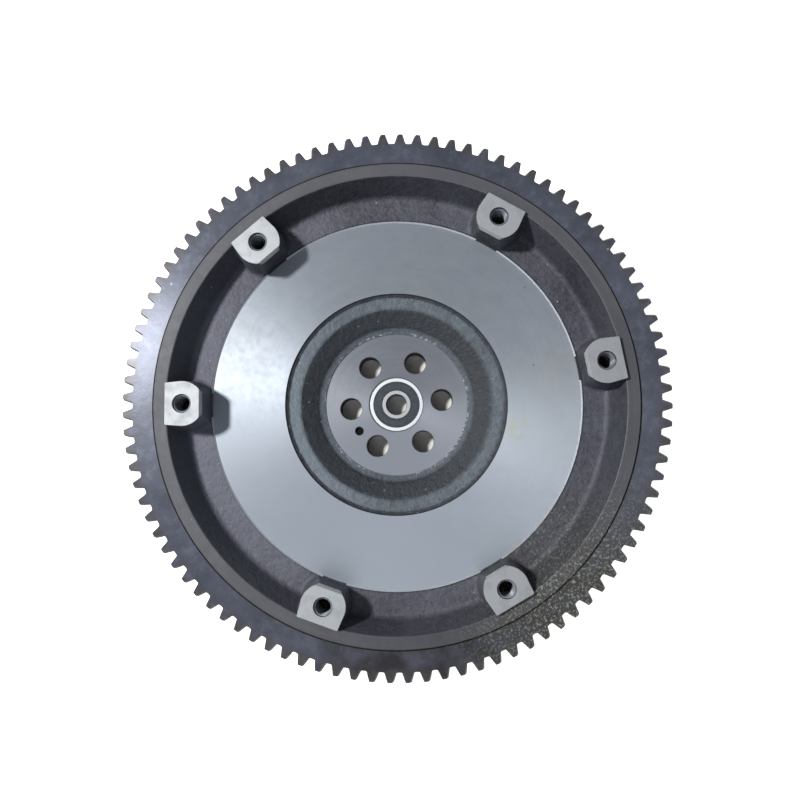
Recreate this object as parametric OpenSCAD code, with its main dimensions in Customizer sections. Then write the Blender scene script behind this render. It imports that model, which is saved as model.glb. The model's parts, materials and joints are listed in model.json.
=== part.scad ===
// Clutch flywheel of a small car engine: a cast-iron body with a shrunk-on starter ring
// gear and a sealed pilot ball bearing pressed into its hub.
// Millimetres. The origin is the centre of the crankshaft face, and +Z points to the clutch.

/* [Casting heights] */
// Thickness of the hub plate, from the crankshaft face to the machined hub face
hub_t = 14; // [13:0.5:16]
// Height of the ground friction face above the crankshaft face
friction_z = 22; // [20:0.5:23]
// How far the friction face is ground below the cast ring around it
friction_step = 0.9; // [0.4:0.1:1.4]
// Height of the rim's front face
rim_z = 40.2; // [39:0.1:41]
// Height of the clutch cover bosses' milled tops
boss_z = 43; // [42:0.5:46]
// Height of the cast recess behind the friction plate
web_rear_z = 6; // [4:0.5:7]
// Height of the rim's rear face
rim_rear_z = 3; // [1:0.5:4]

/* [Casting radii] */
// Radius of the machined hub face
hub_face_r = 41.7; // [41:0.1:43]
// Inner radius of the friction face
friction_in_r = 65.1; // [64:0.1:67]
// Outer radius of the friction face
friction_out_r = 107.5; // [106:0.1:108.5]
// Radius of the foot of the rim's flared inner wall
wall_foot_r = 123.8; // [122:0.1:125]
// Radius of the rim's inner edge
rim_in_r = 129.3; // [128.5:0.1:130.5]
// Radius of the casting behind the ring gear
rear_rim_r = 141; // [139:0.5:144]

/* [Crankshaft bolts] */
// Pitch circle diameter of the crankshaft bolt holes
crank_pcd = 54; // [53:0.5:56]
// Number of crankshaft bolt holes
crank_bolts = 6; // [4:1:6]
// Radius of a crankshaft bolt hole
crank_hole_r = 6.4; // [5.5:0.1:6.8]
// Radius of the locating pin's hole, on the same pitch circle
pin_hole_r = 2.5; // [2:0.1:3]

/* [Clutch cover bosses] */
// Pitch circle diameter of the clutch cover's bolts
cover_pcd = 240; // [238:0.5:242]
// Half of the angle between the two bosses of a pair
boss_half_angle = 24.93; // [22:0.01:28]
// Radius of the boss around its bolt hole, at the top
boss_r = 12.7; // [12:0.1:14]
// Distance from the bolt hole to the boss's flat outer side
boss_out = 9.6; // [9:0.1:10.5]
// Distance from the bolt hole to the boss's flat inner side, at the top
boss_in = 11.3; // [10.5:0.1:11.8]
// Chamfer along the top of the boss's inner side
boss_chamfer = 1.5; // [0.5:0.1:2]
// Sideways slope of the cast sides, for each unit of height
boss_draft = 0.09; // [0.04:0.01:0.12]
// Radius of the bolt thread's minor diameter
thread_r = 4.25; // [4:0.05:4.6]
// Depth of the bolt thread
thread_depth = 20; // [14:1:22]

/* [Ring gear] */
// Number of teeth
teeth = 96; // [90:1:100]
// Module, as pitch diameter over number of teeth
gear_module = 3.175; // [3.1:0.005:3.2]
// Height of a tooth above the pitch circle
addendum = 2.54; // [2.2:0.02:2.8]
// Depth of a tooth below the pitch circle
dedendum = 3.175; // [2.8:0.025:3.3]
// Radius of the seat that the ring gear is shrunk onto
seat_r = 137.3; // [136.5:0.1:138]
// Width of the ring gear
gear_w = 13; // [11:0.5:15]
// Height of the ring gear's front face
gear_front_z = 38.8; // [37:0.1:39]
// Chamfer at both ends of the teeth
tooth_chamfer = 0.9; // [0.3:0.1:1.4]
// Angle of the first tooth from +X
first_tooth = 0.90; // [0:0.01:3.75]

/* [Pilot bearing] */
// Bore radius of the bearing
bearing_bore_r = 6; // [5.8:0.1:6.2]
// Outer radius of the bearing
bearing_out_r = 16; // [15.9:0.1:16.5]
// Width of the bearing
bearing_w = 10; // [10:0.5:11]
// How far the bearing sits below the hub face
bearing_recess = 0.4; // [0:0.1:0.8]
// Number of balls
balls = 7;
// Radius of a ball
ball_r = 2.9765; // [2.9:0.0005:3]
// Radius of the circle that the balls' centres lie on
ball_track_r = 11; // [10.95:0.01:11.05]
// Running clearance between a ball and the raceways
race_gap = 0.02; // [0.01:0.01:0.05]
// Running clearance between the seal's lip and the inner ring
lip_gap = 0.04; // [0.02:0.01:0.1]

/* [Hidden] */
$fn = 96;
past = 1;                                  // how far a cut runs past the face it opens

iron_colour = [0.22, 0.22, 0.24];
gear_colour = [0.27, 0.26, 0.27];
steel_colour = [0.78, 0.79, 0.80];
cage_colour = [0.66, 0.60, 0.50];
rubber_colour = [0.08, 0.08, 0.09];

// Casting
cast_ring_z = friction_z + friction_step;  // the cast ring between friction face and rim
spotface_depth = 0.6;                      // the hub face lies this far below the cast hub
hub_fillet_r = 46.4;                       // where the hub's rough fillet meets the cone
hub_fillet_z = hub_t + 1.9;
cone_top_r = 55.4;                         // the recess's steep cone ends here
cone_top_z = friction_z - 2.3;
shelf_out_r = 62.3;                        // the recess's cast shelf ends here
shelf_out_z = friction_z - 1.6;
foot_fillet = 4;                           // fillet between the cast ring and the rim's wall
edge_chamfer = 0.6;
crank_face_r = 44;
rear_recess_in_r = 51;
rear_recess_out_r = 119;
stop_r = 14;                               // the lip that the bearing is pressed against
pin_angle = 210;
pair_angle = 30;                           // the first pair of bosses is centred here
boss_foot_z = cast_ring_z - 3;             // the bosses run down into the plate
mouth_r = 5.4;                             // chamfered mouth of a threaded hole
drill_tip = 2.4;                           // height of the drilled cone under a thread

// Ring gear
pitch_r = gear_module * teeth / 2;
tip_r = pitch_r + addendum;
root_r = pitch_r - dedendum;
pressure_angle = 20;
backlash = 0.15;
base_r = pitch_r * cos(pressure_angle);
flank_steps = 3;

// Pilot bearing, measured from its middle plane
bearing_z = hub_t - bearing_recess - bearing_w / 2;
groove_r = 1.04 * ball_r;                  // the raceways are a little wider than the ball
inner_land_r = 9;
inner_face_r = 8.5;
outer_land_r = 13.1;
outer_face_r = 13.7;
seal_bead_r = 13.9;
ring_chamfer = 0.5;
seal_face = bearing_w / 2 - 0.35;          // outer side of a seal
seal_back = bearing_w / 2 - 1.35;          // inner side of a seal
core_in_r = 9.8;
core_out_r = 13.2;
core_t = 0.4;
cage_in_r = 9.6;
cage_out_r = 12.4;
cage_t = 0.45;
pocket_r = ball_r + 0.055;
rivet_r = 0.4;
rivet_head_r = 0.75;
rivet_head_t = 0.3;

// Points of an arc around c, from angle a to angle b
function arc(c, r, a, b, steps) =
    [for (i = [0 : steps]) let (t = a + (b - a) * i / steps) c + r * [cos(t), sin(t)]];

// Involute of an angle, in degrees
function involute(a) = tan(a) * 180 / PI - a;

// Half of the angle that a tooth takes up at radius r
function half_tooth(r) =
    (PI * gear_module / 2 - backlash) / 2 / pitch_r * 180 / PI
    + involute(pressure_angle) - involute(acos(base_r / r));

function polar(r, a) = r * [cos(a), sin(a)];

// A section above the middle plane together with its mirror image below it
function both_sides(section) = concat(section,
    [for (i = [len(section) - 1 : -1 : 0]) [section[i][0], -section[i][1]]]);

// Half section of the casting, anticlockwise from the crankshaft face's inner edge
function casting_section() = concat(
    [[stop_r + edge_chamfer, 0], [crank_face_r, 0], [crank_face_r + 1, 1]],
    arc([rear_recess_in_r, web_rear_z - 4], 4, 160, 90, 5),
    arc([rear_recess_out_r - 2, web_rear_z - 2], 2, 90, 20, 4),
    [[rear_recess_out_r + 1, rim_rear_z], [rear_rim_r - 2, rim_rear_z],
     [rear_rim_r, rim_rear_z + 2], [rear_rim_r, gear_front_z - gear_w],
     [seat_r, gear_front_z - gear_w], [seat_r, rim_z - edge_chamfer],
     [seat_r - edge_chamfer, rim_z]],
    arc([rim_in_r + 1, rim_z - 1], 1, 90, 160, 4),
    arc([wall_foot_r - foot_fillet, cast_ring_z + foot_fillet], foot_fillet, -20, -90, 6),
    [[friction_out_r + 0.7, cast_ring_z], [friction_out_r, friction_z],
     [friction_in_r, friction_z], [friction_in_r - 0.7, friction_z - 0.8]],
    arc([shelf_out_r + 0.3, shelf_out_z + 0.9], 0.9, -30, -95, 3),
    arc([cone_top_r + 0.8, cone_top_z - 1], 1, 90, 145, 3),
    arc([hub_fillet_r - 1.8, hub_fillet_z + 1.6], 2.2, -40, -75, 3),
    [[hub_face_r + 0.4, hub_t + spotface_depth], [hub_face_r, hub_t],
     [bearing_out_r + edge_chamfer, hub_t], [bearing_out_r, hub_t - edge_chamfer],
     [bearing_out_r, bearing_z - bearing_w / 2], [stop_r, bearing_z - bearing_w / 2],
     [stop_r, edge_chamfer]]);

// A boss around its own hole, with its outer side towards +X
module boss() {
    rise = boss_z - boss_foot_z;
    spread = rise * boss_draft;
    intersection() {
        union() {
            translate([0, 0, boss_foot_z])
                cylinder(h = rise, r1 = boss_r + spread, r2 = boss_r);
            rotate([90, 0, 90])
                linear_extrude(boss_out)
                    polygon([[-boss_r - spread + 0.2, boss_foot_z], [boss_r + spread - 0.2, boss_foot_z],
                             [boss_r - 0.2, boss_z], [0.2 - boss_r, boss_z]]);
        }
        rotate([90, 0, 0])
            linear_extrude(4 * boss_r, center = true)
                polygon([[-boss_in - spread, boss_foot_z], [boss_out, boss_foot_z], [boss_out, boss_z],
                         [boss_chamfer - boss_in, boss_z], [-boss_in, boss_z - boss_chamfer]]);
    }
}

// The threaded hole in a boss: minor diameter, chamfered mouth and drilled end
module cover_bolt_hole() {
    translate([0, 0, boss_z - thread_depth])
        cylinder(h = thread_depth + past, r = thread_r);
    translate([0, 0, boss_z - thread_depth - drill_tip])
        cylinder(h = drill_tip, r1 = 0, r2 = thread_r);
    translate([0, 0, boss_z - (mouth_r - thread_r)])
        cylinder(h = mouth_r - thread_r + past, r1 = thread_r, r2 = mouth_r + past);
}

// Places its children at the six bosses, turned outwards
module at_bosses() {
    for (pair = [0 : 2], side = [-1, 1])
        rotate(pair_angle + 120 * pair + side * boss_half_angle)
            translate([cover_pcd / 2, 0, 0]) children();
}

module flywheel_casting() {
    color(iron_colour) difference() {
        union() {
            rotate_extrude() polygon(casting_section());
            at_bosses() boss();
        }
        at_bosses() cover_bolt_hole();
        for (i = [0 : crank_bolts - 1])
            rotate(i * 360 / crank_bolts)
                translate([crank_pcd / 2, 0, -past]) cylinder(h = hub_t + 2 * past, r = crank_hole_r);
        rotate(pin_angle)
            translate([crank_pcd / 2, 0, -past]) cylinder(h = hub_t + 2 * past, r = pin_hole_r);
    }
}

// Outline of the teeth, with the flanks as involutes
function gear_outline() = [
    for (i = [0 : teeth - 1])
        let (a = first_tooth + i * 360 / teeth)
        each concat(
            [for (k = [0 : flank_steps])
                let (r = root_r + (tip_r - root_r) * k / flank_steps) polar(r, a - half_tooth(r))],
            [for (k = [flank_steps : -1 : 0])
                let (r = root_r + (tip_r - root_r) * k / flank_steps) polar(r, a + half_tooth(r))])];

module ring_gear() {
    chamfered_r = tip_r - tooth_chamfer;
    outside_r = tip_r + 0.06;              // clear of the corners of the tips
    color(gear_colour) difference() {
        translate([0, 0, gear_front_z - gear_w]) intersection() {
            linear_extrude(gear_w) polygon(gear_outline());
            union() {
                cylinder(h = tooth_chamfer, r1 = chamfered_r, r2 = outside_r);
                translate([0, 0, tooth_chamfer])
                    cylinder(h = gear_w - 2 * tooth_chamfer, r = outside_r);
                translate([0, 0, gear_w - tooth_chamfer])
                    cylinder(h = tooth_chamfer, r1 = outside_r, r2 = chamfered_r);
            }
        }
        translate([0, 0, gear_front_z - gear_w - past]) cylinder(h = gear_w + 2 * past, r = seat_r);
        translate([0, 0, gear_front_z - edge_chamfer])
            cylinder(h = edge_chamfer + past, r1 = seat_r, r2 = seat_r + edge_chamfer + past);
    }
}

// The raceway that is cut into a ring, around a circle of radius r
module raceway(r) {
    rotate_extrude() translate([r, 0]) circle(r = groove_r);
}

module bearing_outer_ring() {
    half = bearing_w / 2;
    bead_top = half - 0.6;
    bead_low = half - 1.1;
    upper = [[bearing_out_r, half - ring_chamfer], [bearing_out_r - ring_chamfer, half],
        [outer_face_r, half], [outer_face_r, bead_top], [seal_bead_r, bead_top],
        [seal_bead_r, bead_low], [outer_face_r, bead_low], [outer_face_r, seal_back],
        [outer_land_r, seal_back]];
    color(steel_colour) translate([0, 0, bearing_z]) difference() {
        rotate_extrude() polygon(both_sides(upper));
        raceway(ball_track_r + ball_r + race_gap - groove_r);
    }
}

module bearing_inner_ring() {
    half = bearing_w / 2;
    step = seal_back - 0.15;
    upper = [[inner_land_r, step], [inner_face_r, step], [inner_face_r, half - 0.3],
        [inner_face_r - 0.3, half], [bearing_bore_r + ring_chamfer, half],
        [bearing_bore_r, half - ring_chamfer]];
    color(steel_colour) translate([0, 0, bearing_z]) difference() {
        rotate_extrude() polygon(both_sides(upper));
        raceway(ball_track_r - ball_r - race_gap + groove_r);
    }
}

// Places its children at one ball's centre
module at_ball(number) {
    rotate((number - 1) * 360 / balls) translate([ball_track_r, 0, bearing_z]) children();
}

module bearing_ball(number) {
    color(steel_colour) at_ball(number) sphere(r = ball_r);
}

// Places its children at the rivets, half way between the balls
module at_rivets() {
    for (i = [0 : balls - 1])
        rotate((i + 0.5) * 360 / balls) translate([ball_track_r, 0, bearing_z]) children();
}

// The pressed ribbon in front of the balls' middle plane
module cage_half() {
    difference() {
        intersection() {
            translate([0, 0, bearing_z]) difference() {
                cylinder(h = pocket_r + cage_t, r = cage_out_r);
                translate([0, 0, -past]) cylinder(h = pocket_r + cage_t + 2 * past, r = cage_in_r);
            }
            union() {
                translate([0, 0, bearing_z]) cylinder(h = cage_t, r = cage_out_r + past);
                for (number = [1 : balls]) at_ball(number) sphere(r = pocket_r + cage_t);
            }
        }
        for (number = [1 : balls]) at_ball(number) sphere(r = pocket_r);
        at_rivets() cylinder(h = 4 * cage_t, r = rivet_r, center = true);
    }
}

module cage_front_half() {
    color(cage_colour) cage_half();
}

module cage_rear_half() {
    color(cage_colour) translate([0, 0, 2 * bearing_z]) mirror([0, 0, 1]) cage_half();
}

module cage_rivets() {
    color(cage_colour) at_rivets() {
        cylinder(h = 2 * cage_t, r = rivet_r, center = true);
        for (side = [0, 1]) mirror([0, 0, side])
            translate([0, 0, cage_t]) cylinder(h = rivet_head_t, r = rivet_head_r);
    }
}

// A seal in front of the balls: a rubber disc with a bead that snaps into the outer ring
module seal_rubber() {
    bead_top = bearing_w / 2 - 0.6;
    bead_low = bearing_w / 2 - 1.1;
    rotate_extrude() polygon([
        [inner_face_r + lip_gap, seal_back], [core_in_r, seal_back], [core_in_r, seal_back + core_t],
        [core_out_r, seal_back + core_t], [core_out_r, seal_back], [outer_face_r, seal_back],
        [outer_face_r, bead_low], [seal_bead_r, bead_low], [seal_bead_r, bead_top],
        [outer_face_r, bead_top], [outer_face_r, seal_face],
        [13, seal_face], [12.8, seal_face - 0.2], [12.6, seal_face],
        [9.7, seal_face], [9.5, seal_face - 0.2], [9.3, seal_face],
        [inner_face_r + lip_gap, seal_face]]);
}

// The steel washer that stiffens a seal
module seal_core() {
    translate([0, 0, seal_back]) difference() {
        cylinder(h = core_t, r = core_out_r);
        translate([0, 0, -past]) cylinder(h = core_t + 2 * past, r = core_in_r);
    }
}

module front_seal_rubber() {
    color(rubber_colour) translate([0, 0, bearing_z]) seal_rubber();
}

module front_seal_core() {
    color(steel_colour) translate([0, 0, bearing_z]) seal_core();
}

module rear_seal_rubber() {
    color(rubber_colour) translate([0, 0, bearing_z]) mirror([0, 0, 1]) seal_rubber();
}

module rear_seal_core() {
    color(steel_colour) translate([0, 0, bearing_z]) mirror([0, 0, 1]) seal_core();
}

flywheel_casting();
ring_gear();
bearing_outer_ring();
bearing_inner_ring();
bearing_ball(1);  // bearing_ball_1
bearing_ball(2);  // bearing_ball_2
bearing_ball(3);  // bearing_ball_3
bearing_ball(4);  // bearing_ball_4
bearing_ball(5);  // bearing_ball_5
bearing_ball(6);  // bearing_ball_6
bearing_ball(7);  // bearing_ball_7
cage_front_half();
cage_rear_half();
cage_rivets();
front_seal_rubber();
front_seal_core();
rear_seal_rubber();
rear_seal_core();
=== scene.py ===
"""Clutch flywheel: the visual model of the casting, its starter ring gear and its pilot bearing."""

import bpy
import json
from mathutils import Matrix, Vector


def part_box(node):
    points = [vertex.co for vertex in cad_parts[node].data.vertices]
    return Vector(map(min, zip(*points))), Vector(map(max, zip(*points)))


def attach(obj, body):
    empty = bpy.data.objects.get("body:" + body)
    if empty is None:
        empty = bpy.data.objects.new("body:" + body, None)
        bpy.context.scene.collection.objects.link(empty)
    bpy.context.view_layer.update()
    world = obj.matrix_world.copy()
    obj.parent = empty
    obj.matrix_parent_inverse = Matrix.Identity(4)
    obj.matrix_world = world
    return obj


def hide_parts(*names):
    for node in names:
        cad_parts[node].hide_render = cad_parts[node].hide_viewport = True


bl_info = {
    "name": "Clutch flywheel",
    "version": (1, 0, 0),
    "blender": (4, 5, 0),
    "location": "View3D > Sidebar > Flywheel",
    "description": "Builds a clutch flywheel with its starter ring gear and pilot bearing",
    "category": "Object",
}

import json
import math

import bmesh
import bpy
from bpy.props import FloatProperty, FloatVectorProperty, IntProperty, PointerProperty
from bpy.types import Operator, Panel, PropertyGroup
from mathutils import Matrix, Vector, noise

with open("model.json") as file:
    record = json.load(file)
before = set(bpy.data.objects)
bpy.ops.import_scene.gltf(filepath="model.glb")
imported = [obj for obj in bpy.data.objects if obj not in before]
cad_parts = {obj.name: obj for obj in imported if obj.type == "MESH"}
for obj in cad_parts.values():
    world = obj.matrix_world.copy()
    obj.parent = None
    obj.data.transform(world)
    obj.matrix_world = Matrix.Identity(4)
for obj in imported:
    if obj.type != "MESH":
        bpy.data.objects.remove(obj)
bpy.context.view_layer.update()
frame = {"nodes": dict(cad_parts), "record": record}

MM = 0.001
AXIS = (0.0, 0.0, 1.0)
CENTRE = (0.0, 0.0, 0.0)
DUSTY_PLACE = (0.090, -0.118, 0.0387)   # pale dust has settled on the rim and its gear
DARK_PATCH_PLACE = (0.0, -0.150, 0.0387)      # the rim and its gear are darker around this place
SPILL_PLACE = (0.0690, -0.0215, 0.022)  # a drop of oil has dried on the friction face
TURNED_LIT_SIDE = (-0.17, -0.98, 0.0)    # painted light: the ground and turned faces are painted lighter towards this side
CAST_LIT_SIDE = (-0.98, -0.17, 0.0)         # painted light: the cast skin and the recess are painted paler towards this side
MOUNTS = {mount["name"]: mount for mount in frame["record"]["mounts"]}
COVER_BOLTS = [Vector(m["pos_m"]) for name, m in MOUNTS.items() if name.startswith("cover_bolt")]
CASTING_LOW, CASTING_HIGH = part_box("flywheel_casting")
GEAR_LOW, GEAR_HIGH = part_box("ring_gear")
BEARING_LOW, BEARING_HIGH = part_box("bearing_outer_ring")
BALL_LOW, BALL_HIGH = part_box("bearing_ball_1")
BEARING_MIDDLE = (BEARING_LOW.z + BEARING_HIGH.z) / 2
BALL_RADIUS = (BALL_HIGH.z - BALL_LOW.z) / 2
BALL_TRACK = (BALL_LOW.x + BALL_HIGH.x) / 2
BALLS = sum(name.startswith("bearing_ball") for name in frame["nodes"])


# ---------------------------------------------------------------- settings

def length(name, description, default_mm):
    """A length in millimetres, kept in metres."""
    return FloatProperty(name=name, description=description, default=default_mm * MM,
                         min=0.0, subtype="DISTANCE", unit="LENGTH", precision=5)


def shade(name, description, default):
    """A linear colour."""
    return FloatVectorProperty(name=name, description=description, default=default,
                               size=3, min=0.0, max=1.0, subtype="COLOR")


def angle(name, description, degrees):
    """An angle given in degrees, kept in radians."""
    return FloatProperty(name=name, description=description, default=math.radians(degrees),
                         subtype="ANGLE", unit="ROTATION")


def power(name, description, watts):
    """The power of a lamp in watts."""
    return FloatProperty(name=name, description=description, default=watts, min=0.0,
                         subtype="POWER", unit="POWER")


def place(name, description, default):
    """A place in the frame, in metres."""
    return FloatVectorProperty(name=name, description=description, default=default, size=3,
                               subtype="TRANSLATION", unit="LENGTH", precision=5)


class FLYWHEEL_PG_casting(PropertyGroup):
    """Sizes of the cast-iron body."""
    hub_z: length("Hub face height", "Height of the machined hub face", 14.0)
    friction_z: length("Friction face height", "Height of the ground face", 22.0)
    friction_step: length("Friction step", "Depth of the ground face below the cast ring", 0.9)
    friction_in: length("Friction inner radius", "Inner radius of the ground face", 65.1)
    friction_out: length("Friction outer radius", "Outer radius of the ground face", 107.5)
    hub_face: length("Hub face radius", "Radius of the machined hub face", 41.7)
    wall_foot: length("Wall foot radius", "Radius of the foot of the rim's inner wall", 123.8)
    rim_in: length("Rim inner radius", "Radius of the rim's inner edge", 129.3)
    rim_z: length("Rim height", "Height of the rim's front face", 40.2)
    seat: length("Gear seat radius", "Radius that the ring gear is shrunk onto", 137.3)
    joint: length("Joint groove", "Width of the chamfers that leave a groove at the gear's seat", 0.65)
    boss_radius: length("Boss radius", "Radius of a boss around its bolt hole", 12.7)
    boss_out: length("Boss outer side", "Distance from bolt hole to outer side", 9.6)
    boss_in: length("Boss inner side", "Distance from bolt hole to inner side", 11.3)
    boss_chamfer: length("Boss chamfer", "Chamfer along the boss's inner side", 1.5)
    mouth: length("Hole mouth radius", "Radius of a threaded hole's chamfered mouth", 5.4)
    thread_major: length("Thread radius", "Major radius of the cover bolt thread", 5.0)
    thread_pitch: length("Thread pitch", "Pitch of the cover bolt thread", 1.5)
    swell: length("Cast swell", "Height of the casting skin's swells", 0.16)
    turns: IntProperty(name="Steps round", description="Steps round the casting", default=720, min=90)


class FLYWHEEL_PG_gear(PropertyGroup):
    """Sizes of the starter ring gear."""
    teeth: IntProperty(name="Teeth", description="Number of teeth", default=96, min=40)
    module: length("Module", "Pitch diameter over number of teeth", 3.175)
    addendum: length("Addendum", "Height of a tooth above its pitch circle", 2.54)
    dedendum: length("Dedendum", "Depth of a tooth below its pitch circle", 3.175)
    first_tooth: angle("First tooth", "Angle of the first tooth", 0.90)
    entry_width: length("Entry bevel width", "Width of the bevel that lets the pinion in", 0.95)
    entry_depth: length("Entry bevel depth", "Depth of that bevel along the tooth", 2.2)
    edge: length("Edge rounding", "Rounding of the teeth's other edges", 0.14)
    tip_growth: length("Tip growth", "Extra width on each flank at the tip", 0.2)


class FLYWHEEL_PG_bearing(PropertyGroup):
    """Sizes of the pilot bearing's hidden and visible parts."""
    inner_land: length("Inner land", "Outer radius of the inner ring", 9.0)
    inner_face: length("Inner face", "Outer radius of the inner ring's side face", 8.5)
    outer_land: length("Outer land", "Inner radius of the outer ring", 13.1)
    outer_face: length("Outer face", "Inner radius of the outer ring's side face", 13.7)
    seal_depth: length("Seal depth", "Depth of a seal below the ring's side face", 0.35)
    seal_thickness: length("Seal thickness", "Thickness of a seal", 1.0)
    lip_gap: length("Lip gap", "Clearance of the seal's lip", 0.04)
    race_gap: length("Race gap", "Clearance between ball and raceway", 0.02)
    cage_in: length("Cage inner radius", "Inner radius of the cage", 9.6)
    cage_out: length("Cage outer radius", "Outer radius of the cage", 12.4)
    cage_sheet: length("Cage sheet", "Thickness of the cage's sheet", 0.45)


class FLYWHEEL_PG_finish(PropertyGroup):
    """Colours of the metals and the rubber."""
    cast_dark: shade("Cast iron, dark", "Hollows of the casting skin", (0.040, 0.041, 0.054))
    cast_light: shade("Cast iron, light", "Worn tops of the casting skin", (0.128, 0.133, 0.168))
    cone_dark: shade("Recess, dark", "Cone and edge of the hub recess", (0.025, 0.030, 0.038))
    shelf_light: shade("Recess, light", "Rough-turned shelf round the hub", (0.150, 0.180, 0.212))
    ground: shade("Ground iron", "The friction face", (0.345, 0.383, 0.437))
    milled: shade("Milled iron", "Boss tops", (0.47, 0.495, 0.52))
    hub: shade("Turned iron", "The machined hub face", (0.230, 0.249, 0.288))
    rim: shade("Rim iron", "Turned front and edges of the rim", (0.134, 0.139, 0.160))
    drilled: shade("Drilled iron", "Walls of the drilled holes", (0.070, 0.054, 0.034))
    gear: shade("Ring gear steel", "Hardened gear steel", (0.127, 0.140, 0.186))
    # Painted shade: the flanks and bevels are coloured near black for the shade they lie in.
    flank: shade("Tooth flank", "Dirt and thin rust on the flanks and bevels", (0.016, 0.015, 0.016))
    rust: shade("Rust", "Light rust at the teeth", (0.085, 0.074, 0.058))
    # Painted highlight: the edge round the ground face is coloured near white to stand in for its glint.
    step_edge: shade("Step edge", "Bright worn edge round the ground face", (0.62, 0.66, 0.70))
    stain: shade("Stain", "Dried oil on the ground face", (0.36, 0.36, 0.32))
    # Painted reflection and shade: the rings' side faces are coloured near white for the bright ceiling they
    # reflect, and their other faces dark, as lit and shaded copies of one steel.
    bright: shade("Bearing steel", "Ground side face of the outer ring", (0.86, 0.90, 0.95))
    race: shade("Race steel", "Side face of the inner ring", (0.52, 0.55, 0.58))
    edge_steel: shade("Edge steel", "Rounded edges of both rings", (0.11, 0.115, 0.125))
    sheet: shade("Cage sheet", "Pressed cage steel", (0.52, 0.50, 0.46))
    rubber: shade("Seal rubber", "Black nitrile rubber", (0.036, 0.046, 0.060))


class FLYWHEEL_PG_stage(PropertyGroup):
    """Camera, lights and floor."""
    lens: FloatProperty(name="Lens", description="Focal length on a 36 mm sensor",
                        default=35.55, min=10.0, subtype="DISTANCE_CAMERA")
    camera: place("Camera", "Place of the camera", (0.01059, -0.0354, 0.48192))
    target: place("Target", "Point that the camera looks at", (0.00234, 0.00247, 0.014))
    roll: angle("Roll", "Turn of the camera about its own axis", 5.69)
    key_azimuth: angle("Key azimuth", "Direction that the key light stands in", 156.0)
    key_slant: angle("Key slant", "Angle of the key light off the vertical", 36.0)
    key_power: power("Key power", "Power of the key light", 15.0)
    fill_azimuth: angle("Fill azimuth", "Direction that the fill light stands in", -105.0)
    fill_slant: angle("Fill slant", "Angle of the fill light off the vertical", 36.0)
    fill_power: power("Fill power", "Power of the fill light", 2.3)
    sky_power: power("Ceiling power", "Power of the ceiling light", 0.5)
    ambient: FloatProperty(name="Ambient", description="Strength of the light from all sides",
                           default=0.14, min=0.0, subtype="FACTOR")


def settings(name):
    """The scene's settings for one part."""
    return getattr(bpy.context.scene, "flywheel_" + name)


# ---------------------------------------------------------------- mesh helpers

def arc(centre, radius, start, end, steps):
    """Points (r, z) of an arc about a centre, between two angles in degrees."""
    points = []
    for step in range(steps + 1):
        turn = math.radians(start + (end - start) * step / steps)
        points.append((centre[0] + radius * math.cos(turn), centre[1] + radius * math.sin(turn)))
    return points


def fine(points, gap):
    """A closed outline with no side longer than gap."""
    result = []
    for (r0, z0), (r1, z1) in zip(points, points[1:] + points[:1]):
        parts = max(1, math.ceil(math.hypot(r1 - r0, z1 - z0) / gap))
        result += [(r0 + (r1 - r0) * k / parts, z0 + (z1 - z0) * k / parts) for k in range(parts)]
    return result


def spun(points, steps, closed=True, about=CENTRE):
    """A mesh spun about a vertical axis from an outline of (r, z) points."""
    bm = bmesh.new()
    verts = [bm.verts.new((about[0] + r, about[1], about[2] + z)) for r, z in points]
    ends = verts[1:] + verts[:1] if closed else verts[1:]
    edges = [bm.edges.new(pair) for pair in zip(verts, ends)]
    bmesh.ops.spin(bm, geom=verts + edges, cent=about, axis=AXIS, angle=math.tau,
                   steps=steps, use_merge=True, use_duplicate=False)
    tidy_mesh(bm)
    return bm


def tidy_mesh(bm, gap=1e-7):
    """Closes seams and poles and points the faces outwards."""
    bmesh.ops.remove_doubles(bm, verts=bm.verts, dist=gap)
    bmesh.ops.dissolve_degenerate(bm, edges=bm.edges, dist=gap)
    bmesh.ops.recalc_face_normals(bm, faces=bm.faces)


def copied_in(bm, part, matrix):
    """Adds a turned or moved copy of one bmesh to another."""
    mesh = bpy.data.meshes.new("copied_in")
    part.to_mesh(mesh)
    mesh.transform(matrix)
    bm.from_mesh(mesh)
    bpy.data.meshes.remove(mesh)


def combined(base, tools):
    """The base bmesh after exact booleans with (operation, bmesh) tools, as a new bmesh."""
    collection = bpy.context.scene.collection
    objects = []
    for bm in [base] + [tool for _, tool in tools]:
        mesh = bpy.data.meshes.new("boolean")
        bm.to_mesh(mesh)
        bm.free()
        thing = bpy.data.objects.new("boolean", mesh)
        collection.objects.link(thing)
        objects.append(thing)
    for (operation, _), tool in zip(tools, objects[1:]):
        cut = objects[0].modifiers.new(operation.title(), "BOOLEAN")
        cut.operation, cut.solver, cut.object = operation, "EXACT", tool
    depsgraph = bpy.context.evaluated_depsgraph_get()
    result = bpy.data.meshes.new_from_object(objects[0].evaluated_get(depsgraph))
    made = bmesh.new()
    made.from_mesh(result)
    bpy.data.meshes.remove(result)
    for thing in objects:
        mesh = thing.data
        bpy.data.objects.remove(thing)
        bpy.data.meshes.remove(mesh)
    return made


def smooth_below(bm, angle):
    """Smooth shading with hard edges above an angle and between two finishes; level faces stay flat."""
    for face in bm.faces:
        face.smooth = abs(face.normal.z) < 0.99995
    for edge in bm.edges:
        faces = edge.link_faces
        same = len(faces) == 2 and faces[0].material_index == faces[1].material_index
        edge.smooth = same and edge.calc_face_angle(0.0) < math.radians(angle)


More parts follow.
